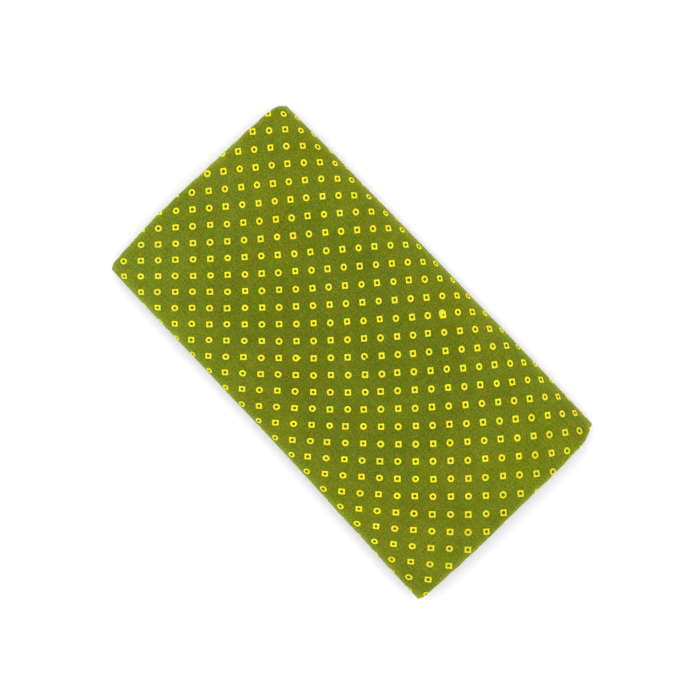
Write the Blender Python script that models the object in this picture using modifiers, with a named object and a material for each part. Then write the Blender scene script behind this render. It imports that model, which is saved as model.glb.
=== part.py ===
# A printed cotton sari, folded flat for keeping.
# The cloth is folded in three across its width, as a letter is, to a band three plies thick. The
# band goes back and forth in seven layers, and those layers together are folded in half twice, so
# 28 layers lie on each other in the pack.
# X runs along the pack, Y across it towards the last fold, and Z up from the face it lies on.
import math

import bmesh
import bpy
from mathutils import Matrix, Vector

# Driving dimensions, in metres
FIRST_SIDE = 0.10275  # from the middle of the pack to the outside of its first fold
LAST_SIDE = 0.10390  # and to the outside of its last fold
PACK_HEIGHT = 0.0360
LAYER_GAP = 0.00034
LAYERS = 7  # in the band, before it is folded in half twice
BAND = PACK_HEIGHT / 4  # thickness of the seven layers together
PITCH = BAND / LAYERS  # from one layer to the next
LAYER_THICKNESS = PITCH - LAYER_GAP

# How the folds bulge: a large one is wider than it is high, and slightly pointed
BULGE = 0.35
BULGE_RADIUS = 2 * PITCH
POINTEDNESS = 0.27

# How uneven the outline is: each side's slope over the pack's length, and its bow or wave
LAST_SIDE_SLOPE = 0.0040
LAST_SIDE_BOW = 0.0041
FIRST_SIDE_SLOPE = 0.0024
FIRST_SIDE_WAVE = 0.0006
FIRST_SIDE_WAVE_LENGTH = 0.85  # of the pack's length
FIRST_SIDE_WAVE_START = 0.03

# How uneven the layers are
END_DROP = 0.0016  # how much lower the top is at the two ends
TOP_WAVE = 0.0005
TOP_WAVE_TURNS = (14.0, 23.0)  # radians per metre, along and across
TOP_WAVE_START = 3.0
LAYER_STAGGER = 0.0011  # how far the ends of the layers differ along X
STAGGER_BY_LAYER = 2.9  # radians from one layer to the next
STAGGER_BY_HEIGHT = 260.0  # radians per metre
STAGGER_FADE = 6  # power by which the stagger fades out at the top layer
TURN_STAGGER = 0.0014  # how far the turns of the open side differ along Y
TURN_STAGGER_BY_PAIR = 2.4
TURN_STAGGER_BY_END = 5.0
OPEN_SIDE_INSET = 0.0022  # how far the turns of the open side lie inside the fold above them

# How far the two ends of the pack lie from the middle, by the place across it
END_COLUMNS = ("across", "near_end", "far_end")
END_ROWS = (
    (-0.1030, 0.1886, 0.1922),
    (-0.0960, 0.1909, 0.1932),
    (-0.0630, 0.1935, 0.1940),
    (-0.0400, 0.1950, 0.1945),
    (0.0100, 0.1948, 0.1934),
    (0.0600, 0.1946, 0.1928),
    (0.0890, 0.1939, 0.1909),
    (0.0970, 0.1917, 0.1886),
    (0.1010, 0.1886, 0.1862),
    (0.1045, 0.1850, 0.1855),
)

# Places along X at which the section is worked out, from 0 at one end to 1 at the other
STATIONS = (0.0, 0.12, 0.36, 0.62, 0.86, 1.0)
FLAT_STEPS = 3
TURN_STEPS = 4
STEP_RADIUS = 2.5 * PITCH  # a fold has one more step for each of these in its radius

GREEN = (0.165, 0.205, 0.013, 1.0)
ROUGHNESS = 0.85


def clear_scene():
    for item in list(bpy.data.objects):
        bpy.data.objects.remove(item, do_unlink=True)


def make_material():
    material = bpy.data.materials.new("printed_cotton")
    material.use_nodes = True
    shader = material.node_tree.nodes["Principled BSDF"]
    shader.inputs["Base Color"].default_value = GREEN
    shader.inputs["Roughness"].default_value = ROUGHNESS
    shader.inputs["Metallic"].default_value = 0.0
    return material


def between(low, high, share):
    return low + (high - low) * share


def end_distance(across, column):
    """How far one end of the pack is from its middle, at this place across it."""
    side = END_COLUMNS.index(column)
    rows = END_ROWS
    if across <= rows[0][0]:
        return rows[0][side]
    for row, after in zip(rows, rows[1:]):
        if across <= after[0]:
            share = (across - row[0]) / (after[0] - row[0])
            return between(row[side], after[side], share)
    return rows[-1][side]


def fold_half_width(radius):
    """How far a fold of this radius reaches beyond the flat layers."""
    share = radius**2 / (radius**2 + BULGE_RADIUS**2)
    return radius * (1 + BULGE * share)


def fold_points(radius, start, end):
    """Points round a half turn, as (reach beyond the flat, height above the fold's middle)."""
    exponent = 2 / (2 - POINTEDNESS * radius / (radius + BULGE_RADIUS))
    steps = TURN_STEPS + round(radius / STEP_RADIUS)
    points = []
    for step in range(steps + 1):
        angle = math.radians(between(start, end, step / steps))
        reach = max(math.cos(angle), 0.0) ** exponent * fold_half_width(radius)
        height = math.copysign(abs(math.sin(angle)) ** exponent, math.sin(angle)) * radius
        points.append((reach, height))
    return points


def last_fold(radius, start, end):
    """A half turn at the last fold, as rows of (share of the width, offset along Y, height)."""
    middle = -fold_half_width(2 * BAND)
    return [
        (1.0, middle + reach, 2 * BAND + height)
        for reach, height in fold_points(radius, start, end)
    ]


def first_fold(radius, start, end):
    """A half turn at the first fold, which lies above the open side."""
    middle = fold_half_width(BAND)
    return [
        (0.0, middle - reach, 3 * BAND + height)
        for reach, height in fold_points(radius, start, end)
    ]


def flat_rows(start, end):
    """The points between two folds, without the folds' own end points."""
    rows = []
    for step in range(1, FLAT_STEPS):
        share = step / FLAT_STEPS
        rows.append(tuple(between(a, b, share) for a, b in zip(start, end)))
    return rows


def open_side_start(pair, end, height):
    """Where two layers leave their turn at the open side, which differs from turn to turn."""
    stagger = math.sin(TURN_STAGGER_BY_PAIR * pair + TURN_STAGGER_BY_END * end)
    return (0.0, OPEN_SIDE_INSET + PITCH + TURN_STAGGER * (1 + stagger), height)


def layer_rows(layer):
    """One layer of the band from the open side's upper half, round the pack, to its lower half."""
    out = (layer - (LAYERS - 1) / 2) * PITCH
    inner = last_fold(BAND / 2 - out, -90, 90)
    upper = first_fold(BAND / 2 + out, -90, 90)
    outer = last_fold(3 * BAND / 2 + out, 90, -90)
    inner_start = open_side_start((layer + 1) // 2, 1, 3 * BAND / 2 + out)
    outer_end = open_side_start(layer // 2, 0, BAND / 2 - out)
    rows = [inner_start]
    for fold in (inner, upper, outer):
        rows += flat_rows(rows[-1], fold[0]) + fold
    rows += flat_rows(rows[-1], outer_end) + [outer_end]
    return rows


def turn_rows(start, end):
    """The small turn from one layer to the next at the open side."""
    middle = (start[2] + end[2]) / 2
    radius = (end[2] - start[2]) / 2
    rows = []
    for step in range(1, TURN_STEPS):
        angle = math.pi * (step / TURN_STEPS - 0.5)
        reach = abs(radius) * math.cos(angle)
        rows.append((0.0, start[1] - reach, middle + radius * math.sin(angle)))
    return rows


def section_rows():
    """The whole back-and-forth section, as rows of (share of the width, offset along Y, height)."""
    rows = []
    layer_of_row = []
    for layer in range(LAYERS):
        layer_run = layer_rows(layer)
        if layer % 2:
            layer_run.reverse()
        if rows:
            turn = turn_rows(rows[-1], layer_run[0])
            rows += turn
            layer_of_row += [layer - 0.5] * len(turn)
        rows += layer_run
        layer_of_row += [layer] * len(layer_run)
    return rows, layer_of_row


def sides(slope):
    """Where the last fold and the first fold reach to, from -0.5 to 0.5 along the pack."""
    last = LAST_SIDE + LAST_SIDE_SLOPE * slope - LAST_SIDE_BOW * slope**2
    phase = 2 * math.pi * (slope - FIRST_SIDE_WAVE_START) / FIRST_SIDE_WAVE_LENGTH
    first = -FIRST_SIDE - FIRST_SIDE_SLOPE * slope + FIRST_SIDE_WAVE * math.cos(phase)
    return first, last


def place(share_along, row, layer):
    """Where a point of the section lies at this share of the pack's length."""
    share_across, offset, height = row
    slope = share_along - 0.5
    first, last = sides(slope)
    y = between(first, last, share_across) + offset

    turn = STAGGER_BY_LAYER * layer + STAGGER_BY_HEIGHT * height
    covered = 1 - (height / PACK_HEIGHT) ** STAGGER_FADE
    near = -end_distance(y, "near_end") + LAYER_STAGGER * covered * math.sin(turn) ** 2
    far = end_distance(y, "far_end") - LAYER_STAGGER * covered * math.cos(turn) ** 2
    x = between(near, far, share_along)

    along, across = TOP_WAVE_TURNS
    rise = TOP_WAVE * math.sin(along * x + TOP_WAVE_START) * math.cos(across * y)
    rise -= END_DROP * abs(2 * slope) ** 3
    lowest = PITCH / 2
    z = lowest + (height - lowest) * (1 + rise / PACK_HEIGHT)
    return Vector((x, y, z - LAYER_GAP / 2))


def middle_in_plan(thing):
    """The middle of the thing's box in plan, with its modifiers on."""
    shown = thing.evaluated_get(bpy.context.evaluated_depsgraph_get())
    corners = [Vector(corner) for corner in shown.bound_box]
    return sum((corner.to_2d() for corner in corners), Vector((0.0, 0.0))).to_3d() / len(corners)


def make_sari(collection, material):
    """A flat grid of cloth, each point of which is moved to its place in the folded pack."""
    rows, layer_of_row = section_rows()
    mesh = bpy.data.meshes.new("sari_cloth")
    cloth = bmesh.new()
    bmesh.ops.create_grid(cloth, x_segments=len(STATIONS) - 1, y_segments=len(rows) - 1, size=1)
    for vert in cloth.verts:
        column = round((vert.co.x + 1) / 2 * (len(STATIONS) - 1))
        line = round((vert.co.y + 1) / 2 * (len(rows) - 1))
        vert.co = place(STATIONS[column], rows[line], layer_of_row[line])
    cloth.to_mesh(mesh)
    cloth.free()
    mesh.shade_smooth()
    sari = bpy.data.objects.new("sari_cloth", mesh)
    collection.objects.link(sari)
    mesh.materials.append(material)
    thickness = sari.modifiers.new("thickness", "SOLIDIFY")
    thickness.thickness = LAYER_THICKNESS
    thickness.offset = 0.0
    thickness.use_even_offset = True
    mesh.transform(Matrix.Translation(-middle_in_plan(sari)))
    return sari


def main():
    clear_scene()
    collection = bpy.data.collections.new("folded_sari")
    bpy.context.scene.collection.children.link(collection)
    make_sari(collection, make_material())


main()
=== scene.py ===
import math

import bpy
import numpy as np
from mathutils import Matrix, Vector


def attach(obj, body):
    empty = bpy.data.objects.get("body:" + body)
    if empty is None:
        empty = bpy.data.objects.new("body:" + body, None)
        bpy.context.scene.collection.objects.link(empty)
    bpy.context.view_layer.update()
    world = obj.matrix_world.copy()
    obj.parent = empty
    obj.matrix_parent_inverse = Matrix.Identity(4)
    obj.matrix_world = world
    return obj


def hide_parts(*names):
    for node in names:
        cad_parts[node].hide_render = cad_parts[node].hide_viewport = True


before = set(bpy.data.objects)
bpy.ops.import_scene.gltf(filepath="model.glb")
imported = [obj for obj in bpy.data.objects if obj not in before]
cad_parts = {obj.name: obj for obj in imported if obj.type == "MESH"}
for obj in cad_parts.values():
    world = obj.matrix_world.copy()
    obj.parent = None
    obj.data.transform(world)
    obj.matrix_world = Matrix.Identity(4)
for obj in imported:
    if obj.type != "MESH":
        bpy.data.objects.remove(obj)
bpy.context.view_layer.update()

pack = {  # the folds, as part.py has them; lengths in metres
    "firstSide": 0.10275,  # from the middle of the pack to the outside of its first fold
    "lastSide": 0.10390,
    "height": 0.0360,
    "layers": 7,
    "bulge": 0.35,
    "pointedness": 0.27,
    "lastSideSlope": 0.0040,
    "lastSideBow": 0.0041,
    "firstSideSlope": 0.0024,
    "firstSideWave": 0.0006,
    "firstSideWaveLength": 0.85,  # of the pack's length
    "firstSideWaveStart": 0.03,
    "endDrop": 0.0016,  # how much lower the top is at the two ends
    "endDropPower": 3,
    "topWave": 0.0005,
    "topWaveAlong": 14.0,  # radians per metre
    "topWaveAcross": 23.0,
    "topWaveStart": 3.0,
    "layerStagger": 0.0011,
    "staggerByLayer": 2.9,
    "staggerByHeight": 260.0,
    "staggerFade": 6,
    "turnStagger": 0.0014,
    "turnStaggerByPair": 2.4,
    "turnStaggerByEnd": 5.0,
    "openSideInset": 0.0022,
    # How far the two ends lie from the middle, by the place across the pack; nearly as in part.py
    "endAcross": (-0.1030, -0.0960, -0.0630, -0.0400, 0.0100, 0.0600, 0.0890, 0.0970, 0.1010, 0.1045),
    "nearEnd": (0.1883, 0.1910, 0.1940, 0.1953, 0.1947, 0.1943, 0.1937, 0.1913, 0.1876, 0.1828),
    "farEnd": (0.1919, 0.1929, 0.1938, 0.1942, 0.1930, 0.1926, 0.1907, 0.1886, 0.1861, 0.1854),
}
pack["band"] = pack["height"] / 4  # the seven layers together
pack["pitch"] = pack["band"] / pack["layers"]
pack["bulgeRadius"] = 2 * pack["pitch"]

# Waves are rows of (radians by the first place, by the second, start, share of the height)
cloth = {
    "width": 1.17,
    "length": 5.42,
    "thickness": 0.00028,
    "plies": 3,  # folded in three across its width
    "foldReach": 1.25,  # of its radius, because the folds at the ends are pressed
    "selvedgeInset": 0.0034,  # how far a selvedge lies inside the fold beside it
    "selvedgeWander": 0.0016,
    "selvedgeWaves": ((21.0, 1.7, 0.0, 1.0),),  # by Y and by layer
    "selvedgeFade": 8,  # power by which the inset fades out away from the selvedge
    "endWander": 0.00022,  # how much the folds at the two ends wander
    "endWaves": ((310.0, 1.9, 0.0, 1.0), (173.0, 4.1, 1.0, 0.7), (57.0, 2.7, 2.2, 0.8)),
    "sideWander": 0.00011,  # and the folds along the two long sides
    "sideWaves": ((21.0, 0.0, 0.7, 1.0), (38.0, 0.0, 2.0, 0.8), (52.0, 0.0, 4.1, 0.4)),
    "turnWander": 0.0005,  # and the turns of the open side
    "turnWaves": ((18.7, 2.3, 0.0, 1.0), (29.0, 4.4, 1.2, 0.4)),
    "loose": 0.00017,  # how unevenly the layers lie on each other at the pack's rim
    "looseByHeight": 1050.0,  # radians per metre
    "looseRim": 0.035,  # how far in from the rim
    "looseWaves": ((37.0, 0.0, 0.0, 1.4), (0.0, 29.0, 0.0, 2.0), (31.0, 47.0, 1.0, 1.1)),
    "sag": 0.0047,  # how much lower the pack is at its left corner in the photo
    "sagAlong": (0.163, 0.196),  # from, to, against X
    "sagAcross": (-0.020, 0.035),  # and against Y
    "sagPower": 1.6,
    "relief": 0.00010,  # shallow hollows and rises in the top
    "reliefFade": 3,  # power by which they fade out further down
    "reliefWaves": (
        (118.0, 93.0, 0.4, 1.0),
        (-64.0, 121.0, 1.9, 0.9),
        (151.0, -38.0, 2.6, 0.8),
        (37.0, -84.0, 4.0, 0.9),
        (-142.0, -77.0, 5.2, 0.7),
        (83.0, 15.0, 0.9, 0.8),
    ),
    "hiddenSteps": 4,  # rows on a flat stretch inside the pack
    "upperSteps": 10,  # and on one just below the top
    "topSteps": 44,
    "undersideSteps": 16,
    "turnSteps": 8,
    "bendSteps": 6,
    "bendStepRadius": 0.0022,  # a fold has one more step for each of these in its radius
    "plyColumns": 30,  # the same for each ply, so that none cuts another
    "foldColumns": 7,
    "closerAtEnds": 0.50,  # how much closer the columns are at the two ends
    "topLevel": 0.03,  # the top lies above this height
    "driftFade": 1.0,  # the lighter band of wear and painted sheen along the outline reaches this much less far in at the ends
    "endCrease": 1.4,  # the creases at the ends are worn over a way this much shorter
}
tiny = 1e-12  # keeps a length of 0 from dividing


def between(low, high, share):
    return low + (high - low) * share


def smooth(low, high, value):
    share = np.clip((value - low) / (high - low), 0.0, 1.0)
    return share * share * (3 - 2 * share)


def ripple(waves, first, second):
    return sum(share * np.sin(a * first + b * second + start) for a, b, start, share in waves)


def foldHalfWidth(radius):
    # A large fold reaches out further than half a circle does
    share = radius**2 / (radius**2 + pack["bulgeRadius"] ** 2)
    return radius * (1 + pack["bulge"] * share)


def bend(radius, start, end, finer):
    # Points round a fold, from its middle. The larger it is, the more pointed.
    exponent = 2 / (2 - pack["pointedness"] * radius / (radius + pack["bulgeRadius"]))
    steps = (cloth["bendSteps"] + round(radius / cloth["bendStepRadius"])) * finer
    points = []
    for step in range(steps + 1):
        angle = math.radians(between(start, end, step / steps))
        reach = max(math.cos(angle), 0.0) ** exponent * foldHalfWidth(radius)
        height = math.copysign(abs(math.sin(angle)) ** exponent, math.sin(angle)) * radius
        points.append((reach, height))
    return points


# A row of the section is (share of the pack's width, offset along Y, height, how far it is part of a
# turn at the open side, number of that turn)
def lastFold(radius, start, end, finer=1):
    # Round the whole pack, on the side towards Y
    middle = -foldHalfWidth(2 * pack["band"])
    points = bend(radius, start, end, finer)
    return [(1.0, middle + reach, 2 * pack["band"] + height, 0.0, 0.0) for reach, height in points]


def firstFold(radius, start, end, finer=1):
    # In the upper half of the other side, above the open side
    middle = foldHalfWidth(pack["band"])
    points = bend(radius, start, end, finer)
    return [(0.0, middle - reach, 3 * pack["band"] + height, 0.0, 0.0) for reach, height in points]


def flat(start, end, steps):
    shares = [step / steps for step in range(1, steps)]
    return [tuple(between(a, b, share) for a, b in zip(start, end)) for share in shares]


def openStart(pair, end, height):
    # The row where a layer comes out of its turn. The turns don't lie quite above each other.
    stagger = math.sin(pack["turnStaggerByPair"] * pair + pack["turnStaggerByEnd"] * end)
    inset = pack["openSideInset"] + pack["pitch"] + pack["turnStagger"] * (1 + stagger)
    return (0.0, inset, height, 1.0, 2.0 * pair + end)


def layerRows(layer):
    # One layer of the band, from the open side round the folds and back to the open side
    outermost = layer == pack["layers"] - 1
    band = pack["band"]
    out = (layer - (pack["layers"] - 1) / 2) * pack["pitch"]
    finer = 2 if outermost else 1
    hidden = cloth["hiddenSteps"]
    folds = (
        (lastFold(band / 2 - out, -90, 90), hidden),
        (firstFold(band / 2 + out, -90, 90, finer), hidden),
        (lastFold(3 * band / 2 + out, 90, -90, finer), cloth["topSteps" if outermost else "upperSteps"]),
    )
    rows = [openStart((layer + 1) // 2, 1, 3 * band / 2 + out)]
    starts = []
    for points, steps in folds:
        rows += flat(rows[-1], points[0], steps)
        starts.append(len(rows))
        rows += points
    lastRow = openStart(layer // 2, 0, band / 2 - out)
    rows += flat(rows[-1], lastRow, cloth["undersideSteps"] if outermost else hidden) + [lastRow]
    return rows, starts


def turn(start, end):
    middle, radius = (start[2] + end[2]) / 2, (end[2] - start[2]) / 2
    rows = []
    for step in range(1, cloth["turnSteps"]):
        angle = math.pi * (step / cloth["turnSteps"] - 0.5)
        reach = abs(radius) * math.cos(angle)
        rows.append((0.0, start[1] - reach, middle + radius * math.sin(angle), 1.0, start[4]))
    return rows


def section():
    # All the layers, back and forth, with the turns between them
    rows, layers = [], []
    for layer in range(pack["layers"]):
        run, starts = layerRows(layer)
        if layer % 2:
            run.reverse()
        if rows:
            link = turn(rows[-1], run[0])
            rows += link
            layers += [layer - 0.5] * len(link)
        firstOuterRow = len(rows) + starts[1]  # where the outermost layer starts round the first fold
        rows += run
        layers += [layer] * len(run)
    return np.array(rows), np.array(layers, float), firstOuterRow


def eased(share):
    return share - cloth["closerAtEnds"] * math.sin(2 * math.pi * share) / (2 * math.pi)


def columns():
    # One row of numbers for each column of the grid: its share of the way between the ends, its ply from
    # -1 to 1, its reach into a fold at the near and the far end, how near a selvedge, and its kind.
    # Kinds 0, 2 and 4 are the plies, and 1 and 3 are the folds between them.
    count = cloth["plyColumns"]
    half = cloth["foldColumns"]
    found = []
    for n in range(count):
        found.append((1 - eased(n / count), -1.0, 1.0, 1.0, 1.0 - n / count, 0))
    for n in range(half):
        angle = math.pi * (n / half - 0.5)
        found.append((0.0, math.sin(angle), 1 - math.cos(angle), 1.0, 0.0, 1))
    for n in range(count):
        found.append((eased(n / count), 1.0, 1.0, 1.0, 0.0, 2))
    for n in range(half):
        angle = math.pi * (0.5 - n / half)
        found.append((1.0, 0.5 + 0.5 * math.sin(angle), 1.0, 1 - math.cos(angle), 0.0, 3))
    for n in range(count + 1):
        found.append((1 - eased(n / count), 0.0, 1.0, 1.0, -n / count, 4))
    return np.array(found).T


def sides(slope):
    # Where the first fold and the last fold reach to, from -0.5 to 0.5 along the pack
    phase = 2 * math.pi * (slope - pack["firstSideWaveStart"]) / pack["firstSideWaveLength"]
    first = -pack["firstSide"] - pack["firstSideSlope"] * slope + pack["firstSideWave"] * np.cos(phase)
    last = pack["lastSide"] + pack["lastSideSlope"] * slope - pack["lastSideBow"] * slope**2
    first = first + cloth["sideWander"] * ripple(cloth["sideWaves"], slope, 0.0)
    last = last + cloth["sideWander"] * ripple(cloth["sideWaves"], -slope, 0.0)
    return first, last


def ends(y, height, layer):
    # Where the two ends of a layer are, and how each wanders
    turnBy = pack["staggerByLayer"] * layer + pack["staggerByHeight"] * height
    covered = pack["layerStagger"] * (1 - (height / pack["height"]) ** pack["staggerFade"])
    near = -np.interp(y, pack["endAcross"], pack["nearEnd"]) + covered * np.sin(turnBy) ** 2
    far = np.interp(y, pack["endAcross"], pack["farEnd"]) - covered * np.cos(turnBy) ** 2
    nearWander = cloth["endWander"] * (1 + ripple(cloth["endWaves"], y, layer))
    farWander = cloth["endWander"] * (1 + ripple(cloth["endWaves"], -y, layer))
    return near + nearWander, far - farWander


def sagging(x, y):
    low, high = cloth["sagAlong"]
    towardsEnd = np.clip((-x - low) / (high - low), 0, None) ** cloth["sagPower"]
    return towardsEnd * smooth(*cloth["sagAcross"], -y)


def runs(points, axis):
    # The direction along the grid at each point, as the mean of the two steps beside it
    steps = np.diff(points, axis=axis)
    steps /= np.maximum(np.linalg.norm(steps, axis=2, keepdims=True), tiny)
    first, last = np.take(steps, [0], axis), np.take(steps, [-1], axis)
    return np.concatenate([first, steps], axis) + np.concatenate([steps, last], axis)


def foldCloth():
    rows, layer, firstOuterRow = section()
    shareAcross, offset, height, openness, turnNumber = (values[:, None] for values in rows.T)
    layer = layer[:, None]
    share, ply, reachNear, reachFar, selvedge, kind = (values[None, :] for values in columns())
    plyPitch = pack["pitch"] / cloth["plies"]
    reachOne = cloth["foldReach"] * plyPitch
    reachTwo = reachOne / 2

    # The middle line of the band, worked out twice, so that Y goes by X and the three plies agree
    slope = share - 0.5
    for _ in range(2):
        first, last = sides(slope)
        y = between(first, last, shareAcross) + offset
        y = y + openness * cloth["turnWander"] * ripple(cloth["turnWaves"], slope, turnNumber)

        # Each ply's run from end to end, less the reach of its folds and the inset of its selvedge
        near, far = ends(y, height, layer)
        wander = cloth["selvedgeWander"] * ripple(cloth["selvedgeWaves"], y, layer)
        inset = (cloth["selvedgeInset"] + wander) * np.abs(selvedge) ** cloth["selvedgeFade"]
        near = near + cloth["thickness"] / 2 + reachOne * reachNear + inset * (selvedge < 0)
        far = far - cloth["thickness"] / 2 - reachTwo * reachFar - inset * (selvedge > 0)
        x = between(near, far, share)
        slope = x / (2 * max(pack["nearEnd"]))

    rise = pack["topWave"] * np.sin(pack["topWaveAlong"] * x + pack["topWaveStart"])
    rise = rise * np.cos(pack["topWaveAcross"] * y)
    rise = rise - pack["endDrop"] * np.abs(2 * slope) ** pack["endDropPower"]
    rise = rise - cloth["sag"] * sagging(x, y)
    lowest = pack["pitch"] / 2
    squeezed = 1 + rise / pack["height"]
    z = lowest + (height - lowest) * squeezed

    # Off that line along its normal, towards the left of the way the cloth runs
    along = runs(np.stack([np.zeros_like(x), y, z], 2), 0)
    normal = np.stack([np.zeros_like(x), -along[..., 2], along[..., 1]], 2)
    normal /= np.linalg.norm(normal, axis=2, keepdims=True)
    normal[..., 2] *= squeezed
    place = np.stack([x, y, z], 2) + (ply * plyPitch)[..., None] * normal
    return place, kind[0], firstOuterRow


def settle(place):
    # The layers lie unevenly at the rim, less so where it sags, and the top has shallow hollows.
    # Every layer shares them.
    x, y, z = place[..., 0], place[..., 1], place[..., 2]
    halfLength = np.abs(x).max()
    rim = 1 - smooth(0, cloth["looseRim"], halfLength - np.abs(x))
    rim = np.maximum(rim, 1 - smooth(0, cloth["looseRim"], y - y.min()))
    rim = rim * np.clip(1 - sagging(x, y), 0, 1)
    depth = np.clip(z / pack["height"], 0, 1)
    inside = 4 * depth * (1 - depth)
    wave = np.sin(cloth["looseByHeight"] * z + ripple(cloth["looseWaves"], x, y))
    place[..., 2] += cloth["loose"] * rim * inside * wave
    place[..., 2] += cloth["relief"] * depth ** cloth["reliefFade"] * ripple(cloth["reliefWaves"], x, y)
    return place


def clothCoordinates(place, kind, firstOuterRow):
    # Metres across the cloth and along it. On the top they are the pack's own X and Y.
    steps = np.linalg.norm(np.diff(place, axis=0), axis=2)
    run = np.concatenate([np.zeros((1, place.shape[1])), np.cumsum(steps, 0)], 0)
    fromMiddle = np.where(kind == 2, np.abs(place[firstOuterRow, :, 0]), np.inf)
    middleColumn = int(np.argmin(fromMiddle))
    onTop = place[:, middleColumn, 2] > cloth["topLevel"]
    onTop[:firstOuterRow] = False
    level = int(np.argmin(np.where(onTop, np.abs(place[:, middleColumn, 1]), np.inf)))

    # Each column's own run on the outermost layer, and the middle column's run inside the pack
    straight = run[:, [middleColumn]] - run[level, middleColumn]
    drift = run - run[[level]] + place[[level], :, 1] - straight
    drift[:firstOuterRow] = drift[firstOuterRow]
    fade = np.clip(1 + (straight - straight[firstOuterRow]) / cloth["driftFade"], 0, 1)
    along = straight + fade * drift

    sideways = np.linalg.norm(np.diff(place, axis=1), axis=2)
    across = np.concatenate([np.zeros((len(run), 1)), np.cumsum(sideways, 1)], 1)
    across = across - across[:, [middleColumn]] + place[:, [middleColumn], 0]
    return across, along, level, middleColumn


place, kind, firstOuterRow = foldCloth()
place = settle(place)
across, along, level, middleColumn = clothCoordinates(place, kind, firstOuterRow)
length, width = np.ptp(along[:, middleColumn]), np.ptp(across[level])
print("cloth: grid", place.shape, "length", round(float(length), 3), "width", round(float(width), 3))


def surfaceNormals(points):
    normal = np.cross(runs(points, 1), runs(points, 0))
    return normal / np.maximum(np.linalg.norm(normal, axis=2, keepdims=True), tiny)


def gridFaces(rowCount, columnCount):
    r, c = np.meshgrid(np.arange(rowCount - 1), np.arange(columnCount - 1), indexing="ij")
    r, c = r.ravel(), c.ravel()
    return np.stack([r, r, r + 1, r + 1], 1), np.stack([c, c + 1, c + 1, c], 1)


def rimFaces(rowCount, columnCount):
    # Quads round the cloth's four edges, as rows, columns and facing of each corner. Facing is 0 on the
    # right side of the cloth and 1 on the wrong side.
    r, c = np.arange(rowCount - 1), np.arange(columnCount - 1)
    alongEdge = np.stack([r, r, r + 1, r + 1], 1)
    acrossEdge = np.stack([c, c, c + 1, c + 1], 1)
    found = (
        (alongEdge, np.full_like(alongEdge, 0), 1),
        (alongEdge, np.full_like(alongEdge, columnCount - 1), -1),
        (np.full_like(acrossEdge, 0), acrossEdge, -1),
        (np.full_like(acrossEdge, rowCount - 1), acrossEdge, 1),
    )
    turnedOver = np.array([[0, 1, 1, 0]])
    rows = [a[:, ::step] for a, b, step in found]
    cols = [b[:, ::step] for a, b, step in found]
    facing = [np.repeat(turnedOver, len(a), 0)[:, ::step] for a, b, step in found]
    return np.concatenate(rows), np.concatenate(cols), np.concatenate(facing)


bakeLayout = {  # shares of the image baked through the OFBake map, so that what shows gets most of it
    "outer": (0.004, 0.004, 0.992, 0.750),  # left, bottom, width, height
    "ends": (0.004, 0.765, 0.440, 0.231),
    "hidden": (0.456, 0.765, 0.540, 0.231),
    "undersideShare": 0.5,
    "undersideLevel": 0.004,
    "stripLength": 0.205,
    "stripShare": 0.8,  # of the room of a strip, along it and across it
    "rightSideShare": 0.49,
}


def bakePlaces(rows, cols, facing):
    # The layout for baking: the outermost layer whole, the folds at the ends in strips, the rest small
    rowCount, columnCount = across.shape
    run = along[:, middleColumn] - along[0, middleColumn]
    firstRow, firstColumn = rows.min(1), cols.min(1)
    isFront = facing.max(1) == 0
    faceKind = kind[firstColumn]
    isFold = (faceKind == 1) | (faceKind == 3)
    outer = isFront & (firstRow >= firstOuterRow) & (isFold | (faceKind == 2))
    atEnds = isFront & ~outer & isFold
    hidden = ~outer & ~atEnds

    weight = np.ones(rowCount)
    weight[place[:, middleColumn, 2] < bakeLayout["undersideLevel"]] = bakeLayout["undersideShare"]
    down = np.concatenate([[0], np.cumsum(np.diff(run) * weight[1:])])
    down = (down - down[firstOuterRow]) / np.ptp(down[firstOuterRow:])
    low, high = across[level][kind == 1][0], across[level][kind == 4][0]
    right = (across[level] - low) / (high - low)

    def fit(name, u, v):
        left, bottom, width, height = bakeLayout[name]
        return np.stack([left + width * u, bottom + height * v], -1)

    uv = np.zeros(rows.shape + (2,))
    uv[outer] = fit("outer", right[cols[outer]], down[rows[outer]])

    strip = np.floor(run / bakeLayout["stripLength"])
    stripsAtEnd = strip[firstOuterRow] + 1
    faceStrip = strip[firstRow[atEnds]][:, None]
    isFar = (faceKind[atEnds] == 3)[:, None]
    startColumn = np.where(isFar, np.argmax(kind == 3), np.argmax(kind == 1))
    share = bakeLayout["stripShare"]
    u = (run[rows[atEnds]] / bakeLayout["stripLength"] - faceStrip) * share
    v = (cols[atEnds] - startColumn) / cloth["foldColumns"] * share + (1 - share) / 2
    uv[atEnds] = fit("ends", u, (faceStrip + isFar * stripsAtEnd + v) / (2 * stripsAtEnd))

    share = bakeLayout["rightSideShare"]
    onRight = (facing[hidden].max(1) > 0)[:, None]
    u = cols[hidden] / (columnCount - 1) * share + (1 - share) * onRight
    uv[hidden] = fit("hidden", u, rows[hidden] / (rowCount - 1))
    return uv


def fromRim():
    # How far each point is from the pack's outline, seen from above
    x, y = place[..., 0], place[..., 1]
    fromEnds = np.minimum(x - x.min(1, keepdims=True), x.max(1, keepdims=True) - x)
    fromSides = np.minimum(y - y.min(0, keepdims=True), y.max(0, keepdims=True) - y)
    return np.minimum(fromEnds * cloth["endCrease"], fromSides)


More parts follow.
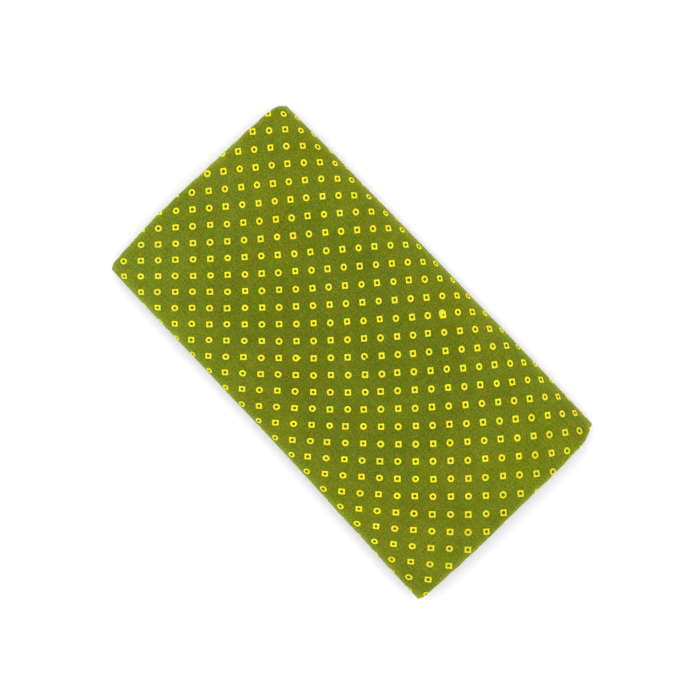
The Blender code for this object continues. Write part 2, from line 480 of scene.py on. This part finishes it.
def makeCloth():
    half = cloth["thickness"] / 2
    normal = surfaceNormals(place)
    both = np.stack([place + half * normal, place - half * normal])
    points = both.reshape(-1, 3)
    middle = (points.min(0) + points.max(0)) / 2
    shift = np.array([-middle[0], -middle[1], -points[:, 2].min()])
    points = points + shift
    rowCount, columnCount = across.shape

    r, c = gridFaces(rowCount, columnCount)
    rimR, rimC, rimFacing = rimFaces(rowCount, columnCount)
    rows = np.concatenate([r, r[:, ::-1], rimR])
    cols = np.concatenate([c, c[:, ::-1], rimC])
    facing = np.concatenate([np.zeros_like(r), np.ones_like(r), rimFacing])
    faces = facing * rowCount * columnCount + rows * columnCount + cols

    mesh = bpy.data.meshes.new("sungudi_cloth")
    mesh.from_pydata(points.tolist(), [], faces.tolist())
    mesh.shade_smooth()
    clothMap = mesh.uv_layers.new(name="clothMap")
    metres = np.stack([across[rows, cols], along[rows, cols]], -1)
    clothMap.uv.foreach_set("vector", metres.astype(np.float32).ravel())
    bakeMap = mesh.uv_layers.new(name="OFBake")
    bakeMap.uv.foreach_set("vector", bakePlaces(rows, cols, facing).astype(np.float32).ravel())
    clothMap.active_render = True
    mesh.uv_layers.active = clothMap

    values = {"fromRim": np.tile(fromRim().ravel(), 2), "wrongSide": np.repeat([0.0, 1.0], across.size)}
    for name, value in values.items():  # the material reads these
        attribute = mesh.attributes.new(name, "FLOAT", "POINT")
        attribute.data.foreach_set("value", value.astype(np.float32))
    sari = bpy.data.objects.new("sungudi_cloth", mesh)
    bpy.context.scene.collection.objects.link(sari)
    return sari, shift


sari, shift = makeCloth()
print("cloth:", len(sari.data.polygons), "faces, moved by", [round(float(v), 5) for v in shift])


class Wire:
    # One value on its way through a material. Arithmetic on it adds the Math nodes.
    def __init__(self, socket):
        self.socket = socket

    def node(self, kind, settings, sockets, output=0):
        nodes = self.socket.id_data.nodes
        made = nodes.new(kind)
        for name, value in settings.items():
            setattr(made, name, value)
        for key, value in sockets.items():
            if isinstance(value, Wire):
                self.socket.id_data.links.new(value.socket, made.inputs[key])
            else:
                made.inputs[key].default_value = value
        return Wire(made.outputs[output])

    def maths(self, operation, *values, clamp=False):
        settings = {"operation": operation, "use_clamp": clamp}
        return self.node("ShaderNodeMath", settings, dict(enumerate(values)))

    def __add__(self, other):
        return self.maths("ADD", self, other)

    def __sub__(self, other):
        return self.maths("SUBTRACT", self, other)

    def __rsub__(self, other):
        return self.maths("SUBTRACT", other, self)

    def __mul__(self, other):
        return self.maths("MULTIPLY", self, other)

    def __truediv__(self, other):
        return self.maths("DIVIDE", self, other)

    def __gt__(self, other):
        return self.maths("GREATER_THAN", self, other)

    __radd__ = __add__
    __rmul__ = __mul__

    def sin(self):
        return self.maths("SINE", self)

    def cos(self):
        return self.maths("COSINE", self)

    def exp(self):
        return self.maths("EXPONENT", self)

    def root(self):
        return self.maths("SQRT", self)

    def size(self):
        return self.maths("ABSOLUTE", self)

    def nearest(self):
        return self.maths("ROUND", self)

    def larger(self, other):
        return self.maths("MAXIMUM", self, other)

    def smaller(self, other):
        return self.maths("MINIMUM", self, other)

    def smooth(self, low, high):
        sockets = {"Value": self, "From Min": low, "From Max": high}
        return self.node("ShaderNodeMapRange", {"interpolation_type": "SMOOTHSTEP"}, sockets)

    def parts(self):
        split = self.node("ShaderNodeSeparateXYZ", {}, {0: self})
        return split, Wire(split.socket.node.outputs[1]), Wire(split.socket.node.outputs[2])

    def vector(self, x, y, z=0.0):
        return self.node("ShaderNodeCombineXYZ", {}, {0: x, 1: y, 2: z})

    def noise(self, place, scale, detail, roughness=0.5, output=0):
        sockets = {"Vector": place, "Scale": scale, "Detail": detail, "Roughness": roughness}
        return self.node("ShaderNodeTexNoise", {}, sockets, output)

    def threeNoises(self, place, scale, detail, roughness=0.5):
        # Three noises round 0, one from each channel of the texture's colour
        return [part - 0.5 for part in self.noise(place, scale, detail, roughness, "Color").parts()]

    def blend(self, share, colourA, colourB):
        # 6, 7 and output 2 are the node's sockets for colours
        return self.node("ShaderNodeMix", {"data_type": "RGBA"}, {0: share, 6: colourA, 7: colourB}, 2)

    def tinted(self, red, green, blue):
        sockets = {0: self, 1: self.vector(red, green, blue)}
        return self.node("ShaderNodeVectorMath", {"operation": "MULTIPLY"}, sockets)


printing = {  # the resist print, measured along and across the cloth
    "middle": (0.0006, 0.0),  # where the print's middle is
    "scale": 1.0097,  # metres of print on a metre of cloth
    "linesA": (97.1, 1.8),  # lines of motifs per metre, along X and Y
    "linesB": (9.7, -100.0),
    "start": (-0.11, -0.74),
    # The cloth was pulled unevenly on the print table. A wave along it comes back after the repeat, and
    # one across it after acrossRepeat. Each pull moves the two sets of lines by these numbers of lines.
    "repeat": 0.42,
    "acrossRepeat": 1.2,
    "pulls": {
        "wave": (0.48, 0.30),
        "bow": (0.94, 0.0),
        "tilt": (0.0, -1.22),
        "dish": (-0.63, -0.42),
        "tiltWave": (-0.16, 0.16),
        "dishWave": (0.26, 0.33),
        "tiltBow": (1.04, 0.0),
        "tiltShortBow": (-0.31, 0.0),
    },
    "joint": 0.0348,  # where two prints meet
    "jointSlant": 0.056,
    "jointStep": (0.11, -0.06),  # in lines
    # Each motif
    "pitch": (0.01032, 0.01055),  # metres from line to line
    "turned": 46.7,  # degrees, from the pack's length to the sides of the squares
    "outer": 0.00285,  # from a motif's middle to its outline
    "roundHole": 0.00132,
    "squareHole": 0.00135,
    "squareSize": 0.921,  # of the rings' size
    "cornerRound": 0.03,
    "edge": 0.00026,  # half the width over which the ink begins
    # How much they differ
    "misplaced": 0.00025,
    "lean": 0.035,
    "uneven": 0.00022,  # the wax's edge
    "unevenScale": 620.0,
    "sizeLuck": 0.00016,
    "holeLuck": 0.0003,
    # The ink is yellower near its edges, and the dye is darker round a motif and in its middle
    "coreWidth": 0.0007,
    "haloFrom": 0.0003,
    "haloTo": 0.0014,
    "middleDye": (0.5, -1.5),  # from, to, in widths of the edge
}

misprints = {  # single faulty motifs; places are from the motif's middle
    "doubled": {
        "cell": (6.0, -2.0),
        "moved": (-0.0010, 0.0004),
        "disc": (-0.0005, -0.0011),
        "hole": (0.0004, 0.0000),
        "holeLess": 0.00042,
        "swollen": 0.0003,
        "crease": 0.0021,  # the first print's edge shows inside the second
        "creaseWidth": 0.0005,
        "creaseDepth": 0.35,
    },
    "splashed": {
        "cell": (-3.0, 0.0),
        "tip": (0.0051, 0.0001),
        "spread": 0.85,  # half the splash's width against its length
        "soft": 0.0008,
        "strength": 0.86,
        "stripe": 0.0015,
        "stripeSlope": 0.5,
        "stripeDepth": 0.25,
    },
    "broken": {"cell": (1.0, 0.0), "gap": (0.0015, 0.0021), "gapRadius": 0.0012},
}

colours = {  # linear red, green, blue and alpha
    "deep": (0.142, 0.182, 0.0075, 1.0),
    # a lighter green, partly wear and partly painted sheen and bounce light
    "wornAndLit": (0.228, 0.274, 0.0110, 1.0),
    "ink": (1.000, 0.905, 0.033, 1.0),
    "thinInk": (0.760, 0.680, 0.075, 1.0),
    "wrong": (0.200, 0.235, 0.0240, 1.0),
}

tints = {  # what the green is multiplied by
    "warm": (1.08, 1.02, 0.90),
    "halo": (0.94, 0.94, 0.06),
    "middle": (0.78, 0.74, 0.04),
}


def printLines(x, y):
    # Where a point lies in the two crossing sets of lines, in lines from the middle, and how far it is
    # beyond the joint
    k = 2 * math.pi / printing["repeat"]
    m = 2 * math.pi / printing["acrossRepeat"]
    wave, bow, shortBow = (y * k).sin(), 1 - (y * k).cos(), 1 - (y * (2 * k)).cos()
    tilt, dish = (x * m).sin(), 1 - (x * m).cos()
    pastJoint = x + wave * (printing["jointSlant"] / k) - printing["joint"]
    pulls = {
        "wave": wave,
        "bow": bow,
        "tilt": tilt,
        "dish": dish,
        "tiltWave": tilt * wave,
        "dishWave": dish * wave,
        "tiltBow": tilt * bow,
        "tiltShortBow": tilt * shortBow,
    }
    lines = []
    for n, perMetre in enumerate((printing["linesA"], printing["linesB"])):
        line = x * perMetre[0] + y * perMetre[1] + printing["start"][n]
        for name, pull in pulls.items():
            if printing["pulls"][name][n]:
                line = line + pull * printing["pulls"][name][n]
        lines.append(line)
    return lines[0], lines[1], pastJoint


def isCell(across, down, cell):
    # 1 in the cell of this number and 0 in the others
    far = (across - cell[0]).size() + (down - cell[1]).size()
    return 1 - (far > 0.5)


def fromPoint(p, q, point):
    a, b = p - point[0], q - point[1]
    return (a * a + b * b).root()


def inMotif(lineA, lineB, pastJoint, across, down, doubled, luck, uneven):
    # The point in the motif's own directions. A motif is whole in one of the two prints, by where its
    # middle is. It is turned, a little misplaced, and leaning.
    a, b = lineA - across - down, lineB - down + across
    second = ((pastJoint - a / printing["linesA"][0]) > 0.0) * (1 - doubled)
    a = (a + second * printing["jointStep"][0]) * printing["pitch"][0]
    b = (b + second * printing["jointStep"][1]) * printing["pitch"][1]
    turned = math.radians(printing["turned"])
    p = a * math.cos(turned) - b * math.sin(turned)
    q = a * math.sin(turned) + b * math.cos(turned)
    p = p + luck[0] * (2 * printing["misplaced"]) + uneven[0] * (2 * printing["uneven"])
    q = q + luck[1] * (2 * printing["misplaced"]) + uneven[1] * (2 * printing["uneven"])
    lean = luck[2] * (2 * printing["lean"])
    p, q = p + q * lean, q - p * lean
    moved = misprints["doubled"]["moved"]
    return p - doubled * moved[0], q - doubled * moved[1]


def doubledMotif(p, q, doubled, far, fromHole, hole):
    # A ring printed over a square: its outline, its hole, and what ink is missing at the crease
    fault = misprints["doubled"]
    fromDisc = fromPoint(p, q, fault["disc"])
    far = far.smaller(fromDisc + (1 - doubled)) - doubled * fault["swollen"]
    fromHole = fromHole + (fromPoint(p, q, fault["hole"]) - fromHole) * doubled
    hole = hole - doubled * fault["holeLess"]
    crease = (fromDisc - fault["crease"]).size().smooth(fault["creaseWidth"], 0.0)
    return far, fromHole, hole, doubled * crease * fault["creaseDepth"]


def brokenMotif(p, q, across, down):
    fault = misprints["broken"]
    gap = fromPoint(p, q, fault["gap"]).smooth(fault["gapRadius"], fault["gapRadius"] / 2)
    return isCell(across, down, fault["cell"]) * gap


def splashedMotif(p, q, across, down):
    fault = misprints["splashed"]
    tip, soft, depth = fault["tip"], fault["soft"], fault["stripeDepth"]
    fan = ((tip[0] - p) * fault["spread"] - (q - tip[1]).size()).smooth(0.0, soft) * p.smooth(0.0, soft)
    turns = (q + p * fault["stripeSlope"]) * (2 * math.pi / fault["stripe"])
    stripes = turns.cos() * depth + (1 - depth)
    return fan * isCell(across, down, fault["cell"]) * stripes * fault["strength"]


def motifs(clothPlace, x, y):
    # Rings and hollow squares by turns, each in a cell of its own, as shares from 0 to 1
    lineA, lineB, pastJoint = printLines(x, y)
    across = ((lineA - lineB) * 0.5).nearest()
    down = ((lineA + lineB) * 0.5).nearest()
    cell = x.vector(across, down)
    luck = x.node("ShaderNodeTexWhiteNoise", {"noise_dimensions": "2D"}, {"Vector": cell}, "Color")
    luck = [part - 0.5 for part in luck.parts()]
    *uneven, thin = x.threeNoises(clothPlace, printing["unevenScale"], 1.0)
    doubled = isCell(across, down, misprints["doubled"]["cell"])
    p, q = inMotif(lineA, lineB, pastJoint, across, down, doubled, luck, uneven)

    fromMiddle = (p * p + q * q).root()
    corner = printing["cornerRound"]
    square = (p.size().larger(q.size()) * (1 - corner) + fromMiddle * corner) / printing["squareSize"]
    isRound = x.maths("PINGPONG", across + down, 1.0)
    far = square + (fromMiddle - square) * isRound + (luck[1] - luck[0]) * printing["sizeLuck"]
    hole = printing["squareHole"] + isRound * (printing["roundHole"] - printing["squareHole"])
    hole = hole + luck[0] * printing["holeLuck"]
    far, fromHole, hole, missing = doubledMotif(p, q, doubled, far, fromMiddle, hole)
    missing = missing + brokenMotif(p, q, across, down)

    outer, edge = printing["outer"], printing["edge"]
    intoInk = fromHole - hole
    ink = far.smooth(outer + edge, outer - edge) * (intoInk / edge).smooth(-1.0, 1.0) * (1 - missing)
    ink = ink.larger(splashedMotif(p, q, across, down))
    core = (outer - far).smooth(0.0, printing["coreWidth"]) * intoInk.smooth(0.0, printing["coreWidth"])
    halo = far.smooth(outer + printing["haloTo"], outer + printing["haloFrom"])
    middle = (intoInk / edge).smooth(*printing["middleDye"])
    return ink, core, halo, middle, thin, luck[1:]


surface = {
    # The plain weave, in metres
    "warp": 0.00034,  # from thread to thread
    "weft": 0.00038,
    "threadShade": 0.10,
    "threadDepth": 0.00004,
    "overDepth": 0.3,  # of that, how much higher the cloth is where the warp lies on top
    # Uneven yarn, grain and clouded dye
    "warpStreaks": (900.0, 60.0),  # per metre across and along the cloth
    "weftStreaks": (70.0, 820.0),
    "weftStart": 5.0,
    "streakShade": 0.45,
    "streakDepth": 0.00008,
    "grainScale": 780.0,
    "grain": (1.58, 0.35, 6.2),  # brightness, red against green, blue
    "cloudScale": 24.0,
    "cloudDetail": 4.0,
    "cloudRoughness": 0.85,
    "cloud": (0.46, 0.13, 2.2),
    "cloudDepth": 0.0003,
    "warmSpread": 0.2,
    # Lighter green towards the sides and ends, partly fold wear and partly painted sheen and bounce
    # light; in metres from the pack's middle: from, to, share
    "wornAndLitSides": (0.045, 0.105, 0.40),
    "wornAndLitEnds": (0.050, 0.190, 0.38),
    "lessWornAndLit": (-0.025, 0.045, 0.45),  # the ends get less of it round this Y: place, width, share
    "wornAndLitClouds": 0.55,
    # A lighter band along the outline, partly fold wear and partly painted sheen
    "rimSheenReach": 0.0024,
    "rim": (0.92, 0.87, 2.9),  # how much lighter the outline is in red, green and blue: painted sheen, partly wear
    # Painted sheen, lighter and bluer towards the sagging corner
    "cornerSheenTowards": (-0.75, -0.66),
    "cornerSheenFromTo": (0.07, 0.20),  # from, to, that way
    "cornerSheen": (0.00, 0.09, 0.55),  # painted sheen: how much lighter the green is towards the sagging corner, and the ink in blue
    # The ink
    "inkLuck": (0.10, 0.32),  # brightness and blue, from motif to motif
    "inkShade": 0.30,
    "inkBlue": (0.29, 0.97),  # at the ink's edges, and how much more in its middle
    "inkDepth": 0.00003,
    "dullEnd": (0.135, 0.190, 0.12),  # the ink is duller towards this end: from, to, share
    "dullBlue": 2.0,
    "thin": (1.3, 0.26, 0.12),  # where the ink is thin: slope, start, softness
    "wrongInk": 0.6,  # how much weaker the ink is on the wrong side
    "wrongDye": 0.5,  # and how near to the wrong side's own colour
    # The shader's own values
    "rough": (0.86, 0.14, 0.10),  # of the cloth, less on the ink, and by the grain
    "bump": 0.6,
    "gloss": 0.06,
    "sheen": 0.08,
    "sheenRoughness": 0.45,
    "sheenTint": (0.62, 0.72, 0.22, 1.0),
}


def threads(x, y):
    # A plain weave: warp over weft and weft over warp by turns
    warp = (x * (math.pi / surface["warp"])).sin()
    weft = (y * (math.pi / surface["weft"])).sin()
    over = warp * weft
    return over.size(), over


# Lighter towards the sides and ends, partly fold wear and partly painted sheen and bounce light; painted
# sheen towards the sagging corner; duller ink towards one end
def wornAndLitShare(root, cloud):
    # Worn and faded towards the folds, which are handled most
    packX, packY, _ = root.node("ShaderNodeTexCoord", {}, {}, "Object").parts()
    low, high, share = surface["wornAndLitSides"]
    wornAndLit = packY.size().smooth(low, high) * share
    low, high, share = surface["wornAndLitEnds"]
    middle, width, less = surface["lessWornAndLit"]
    spared = 1 - (packY - middle).size().smooth(width, 0.0) * less
    wornAndLit = wornAndLit.larger(packX.size().smooth(low, high) * spared * share)
    wornAndLit = root.maths("ADD", wornAndLit, cloud * surface["wornAndLitClouds"], clamp=True)
    # Painted sheen towards the sagging corner
    low, high = surface["cornerSheenFromTo"]
    towards = surface["cornerSheenTowards"]
    cornerSheen = (packX * towards[0] + packY * towards[1]).smooth(low, high)
    low, high, share = surface["dullEnd"]
    dull = packX.smooth(low, high) * share
    return wornAndLit, cornerSheen, dull


def streaks(root, across, along):
    # Uneven yarn: thin streaks along the warp and along the weft
    a, b = surface["warpStreaks"]
    warpStreak = root.noise(root.vector(across * a, along * b), 1.0, 1.0) - 0.5
    a, b = surface["weftStreaks"]
    weftStreak = root.noise(root.vector(across * a, along * b, surface["weftStart"]), 1.0, 1.0) - 0.5
    return warpStreak + weftStreak


def greenCloth(root, wornAndLit, cornerSheen, shade, grain, cloud, halo, middle):
    # Painted sheen, partly wear, in a band along the outline, and painted sheen towards the sagging
    # corner
    rim = root.node("ShaderNodeAttribute", {"attribute_name": "fromRim"}, {}, "Fac")
    rim = (rim * (-1 / surface["rimSheenReach"])).exp()
    # Lighter towards the sides and ends: partly wear, partly painted sheen and bounce light
    green = root.blend(wornAndLit, colours["deep"], colours["wornAndLit"])
    spread = surface["warmSpread"]
    green = root.blend(cloud[1].smooth(-spread, spread), green, green.tinted(*tints["warm"]))
    green = root.blend(halo, green, green.tinted(*tints["halo"]))
    green = root.blend(middle, green, green.tinted(*tints["middle"]))
    hue = grain[1] * surface["grain"][1] + cloud[1] * surface["cloud"][1]
    blue = 1 + grain[2] * surface["grain"][2] + cloud[2] * surface["cloud"][2]
    sheenAndWearLift = [1 + rim * r + cornerSheen * f for r, f in zip(surface["rim"], surface["cornerSheen"])]
    return green.tinted(
        shade * (1 + hue) * sheenAndWearLift[0],
        shade * (1 - hue) * sheenAndWearLift[1],
        shade * blue.larger(0.0) * sheenAndWearLift[2],
    )


def yellowInk(root, core, thin, luck, cornerSheen, dull, shade):
    slope, start, soft = surface["thin"]
    inkColour = root.blend((thin * slope + start).smooth(0.0, soft), colours["thinInk"], colours["ink"])
    inkShade = 1 + (shade - 1) * surface["inkShade"] + luck[0] * surface["inkLuck"][0] - dull
    # the bluer ink towards the sagging corner is painted sheen
    paler = 1 + luck[1] * (2 * surface["inkLuck"][1]) + cornerSheen * surface["cornerSheen"][2]
    paler = paler + dull * surface["dullBlue"]
    paler = paler * (surface["inkBlue"][0] + core * surface["inkBlue"][1])
    return inkColour.tinted(inkShade, inkShade, inkShade * paler)


def makeClothMaterial():
    material = bpy.data.materials.new("printed_cotton_weave")
    material.use_nodes = True
    shader = material.node_tree.nodes["Principled BSDF"]
    root = Wire(shader.outputs[0])
    clothPlace = root.node("ShaderNodeUVMap", {"uv_map": "clothMap"}, {})
    across, along, _ = clothPlace.parts()
    x = (across - printing["middle"][0]) * printing["scale"]
    y = (along - printing["middle"][1]) * printing["scale"]
    wrong = root.node("ShaderNodeAttribute", {"attribute_name": "wrongSide"}, {}, "Fac")

    ink, core, halo, middle, thin, luck = motifs(clothPlace, x, y)
    streak = streaks(root, across, along)
    grain = root.threeNoises(clothPlace, surface["grainScale"], 1.0)
    cloud = root.threeNoises(
        clothPlace, surface["cloudScale"], surface["cloudDetail"], surface["cloudRoughness"]
    )
    crown, over = threads(across, along)
    wornAndLit, cornerSheen, dull = wornAndLitShare(root, cloud[0])
    shade = 1 + streak * surface["streakShade"]
    shade = shade + grain[0] * surface["grain"][0] + cloud[0] * surface["cloud"][0]
    shade = shade * (1 - surface["threadShade"] / 2 + crown * surface["threadShade"])

    green = greenCloth(root, wornAndLit, cornerSheen, shade, grain, cloud, halo, middle)
    yellow = yellowInk(root, core, thin, luck, cornerSheen, dull, shade)
    colour = root.blend(ink * (1 - wrong * surface["wrongInk"]), green, yellow)
    colour = root.blend(wrong * surface["wrongDye"], colour, colours["wrong"])
    links = material.node_tree.links
    links.new(colour.socket, shader.inputs["Base Color"])

    plain, onInk, byGrain = surface["rough"]
    rough = plain - ink * onInk + grain[0] * byGrain
    links.new(rough.socket, shader.inputs["Roughness"])
    shader.inputs["Specular IOR Level"].default_value = surface["gloss"]
    shader.inputs["Sheen Weight"].default_value = surface["sheen"]
    shader.inputs["Sheen Roughness"].default_value = surface["sheenRoughness"]
    shader.inputs["Sheen Tint"].default_value = surface["sheenTint"]

    height = crown * surface["threadDepth"] + over * (surface["threadDepth"] * surface["overDepth"])
    height = height + streak * surface["streakDepth"] + ink * surface["inkDepth"]
    height = height + cloud[0] * surface["cloudDepth"]
    sockets = {"Strength": surface["bump"], "Distance": 1.0, "Height": height}
    bump = root.node("ShaderNodeBump", {}, sockets)
    links.new(bump.socket, shader.inputs["Normal"])
    return material


sari.data.materials.append(makeClothMaterial())
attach(sari, "root")
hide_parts("sari_cloth")
print("material: printed cotton")


floor = {"half": 12.0, "level": -0.0001, "colour": (0.905, 0.893, 0.99, 1.0)}
light = {
    "sky": 0.72,
    "keyPower": 9.0,
    "keySize": 1.2,
    "keyPlace": (-0.12, 0.06, 1.60),
    "floorPower": 24.3,
    "floorSize": 3.0,
    "floorHeight": 2.0,
}


def makeFloor():
    half, level = floor["half"], floor["level"]
    mesh = bpy.data.meshes.new("floor")
    corners = [(x, y, level) for x, y in ((-half, -half), (half, -half), (half, half), (-half, half))]
    mesh.from_pydata(corners, [], [(0, 1, 2, 3)])
    thing = bpy.data.objects.new("floor", mesh)
    bpy.context.scene.collection.objects.link(thing)
    paper = bpy.data.materials.new("backdrop_paper")
    paper.use_nodes = True
    shader = paper.node_tree.nodes["Principled BSDF"]
    shader.inputs["Base Color"].default_value = floor["colour"]
    shader.inputs["Roughness"].default_value = 1.0
    shader.inputs["Specular IOR Level"].default_value = 0.0
    mesh.materials.append(paper)
    return thing


def addLamp(name, power, size, location):
    lamp = bpy.data.lights.new(name, "AREA")
    lamp.shape = "SQUARE"
    lamp.size = size
    lamp.energy = power
    thing = bpy.data.objects.new(name, lamp)
    bpy.context.scene.collection.objects.link(thing)
    thing.location = location
    thing.rotation_euler = (-Vector(location)).to_track_quat("-Z", "Y").to_euler()
    return thing


def lightScene(ground):
    world = bpy.data.worlds.new("soft_room")
    bpy.context.scene.world = world
    world.use_nodes = True
    sky = world.node_tree.nodes["Background"]
    sky.inputs["Color"].default_value = (1.0, 1.0, 1.0, 1.0)
    sky.inputs["Strength"].default_value = light["sky"]
    addLamp("key_softbox", light["keyPower"], light["keySize"], light["keyPlace"])
    above = (0.0, 0.0, light["floorHeight"])
    over = addLamp("floor_softbox", light["floorPower"], light["floorSize"], above)
    onlyFloor = bpy.data.collections.new("lit_floor")
    onlyFloor.objects.link(ground)
    over.light_linking.receiver_collection = onlyFloor


camera = {
    "height": 1.8,
    "turned": 46.7,  # degrees
    "pixel": 0.000847,  # metres at the middle of the pack's height
    "middle": (352.5, 349.1),  # where the pack's middle is in the picture
    "sensor": 36.0,
    "picture": 700,
    "clip": (0.05, 60.0),
}


def addCamera():
    data = bpy.data.cameras.new("camera")
    eye = bpy.data.objects.new("camera", data)
    bpy.context.scene.collection.objects.link(eye)
    turned = math.radians(camera["turned"])
    right = np.array([math.cos(turned), math.sin(turned)])
    up = np.array([-math.sin(turned), math.cos(turned)])
    half = camera["picture"] / 2
    off = (camera["middle"][0] - half) * right - (camera["middle"][1] - half) * up
    middle = shift[:2] - off * camera["pixel"]
    eye.location = (middle[0], middle[1], camera["height"])
    eye.rotation_euler = (0.0, 0.0, turned)
    data.sensor_width = camera["sensor"]
    level = camera["height"] - pack["height"] / 2
    data.lens = camera["sensor"] * level / (camera["picture"] * camera["pixel"])
    data.clip_start, data.clip_end = camera["clip"]
    bpy.context.scene.camera = eye


ground = makeFloor()
lightScene(ground)
addCamera()
bpy.context.scene.view_settings.view_transform = "Standard"
print("stage: floor, lights and camera")
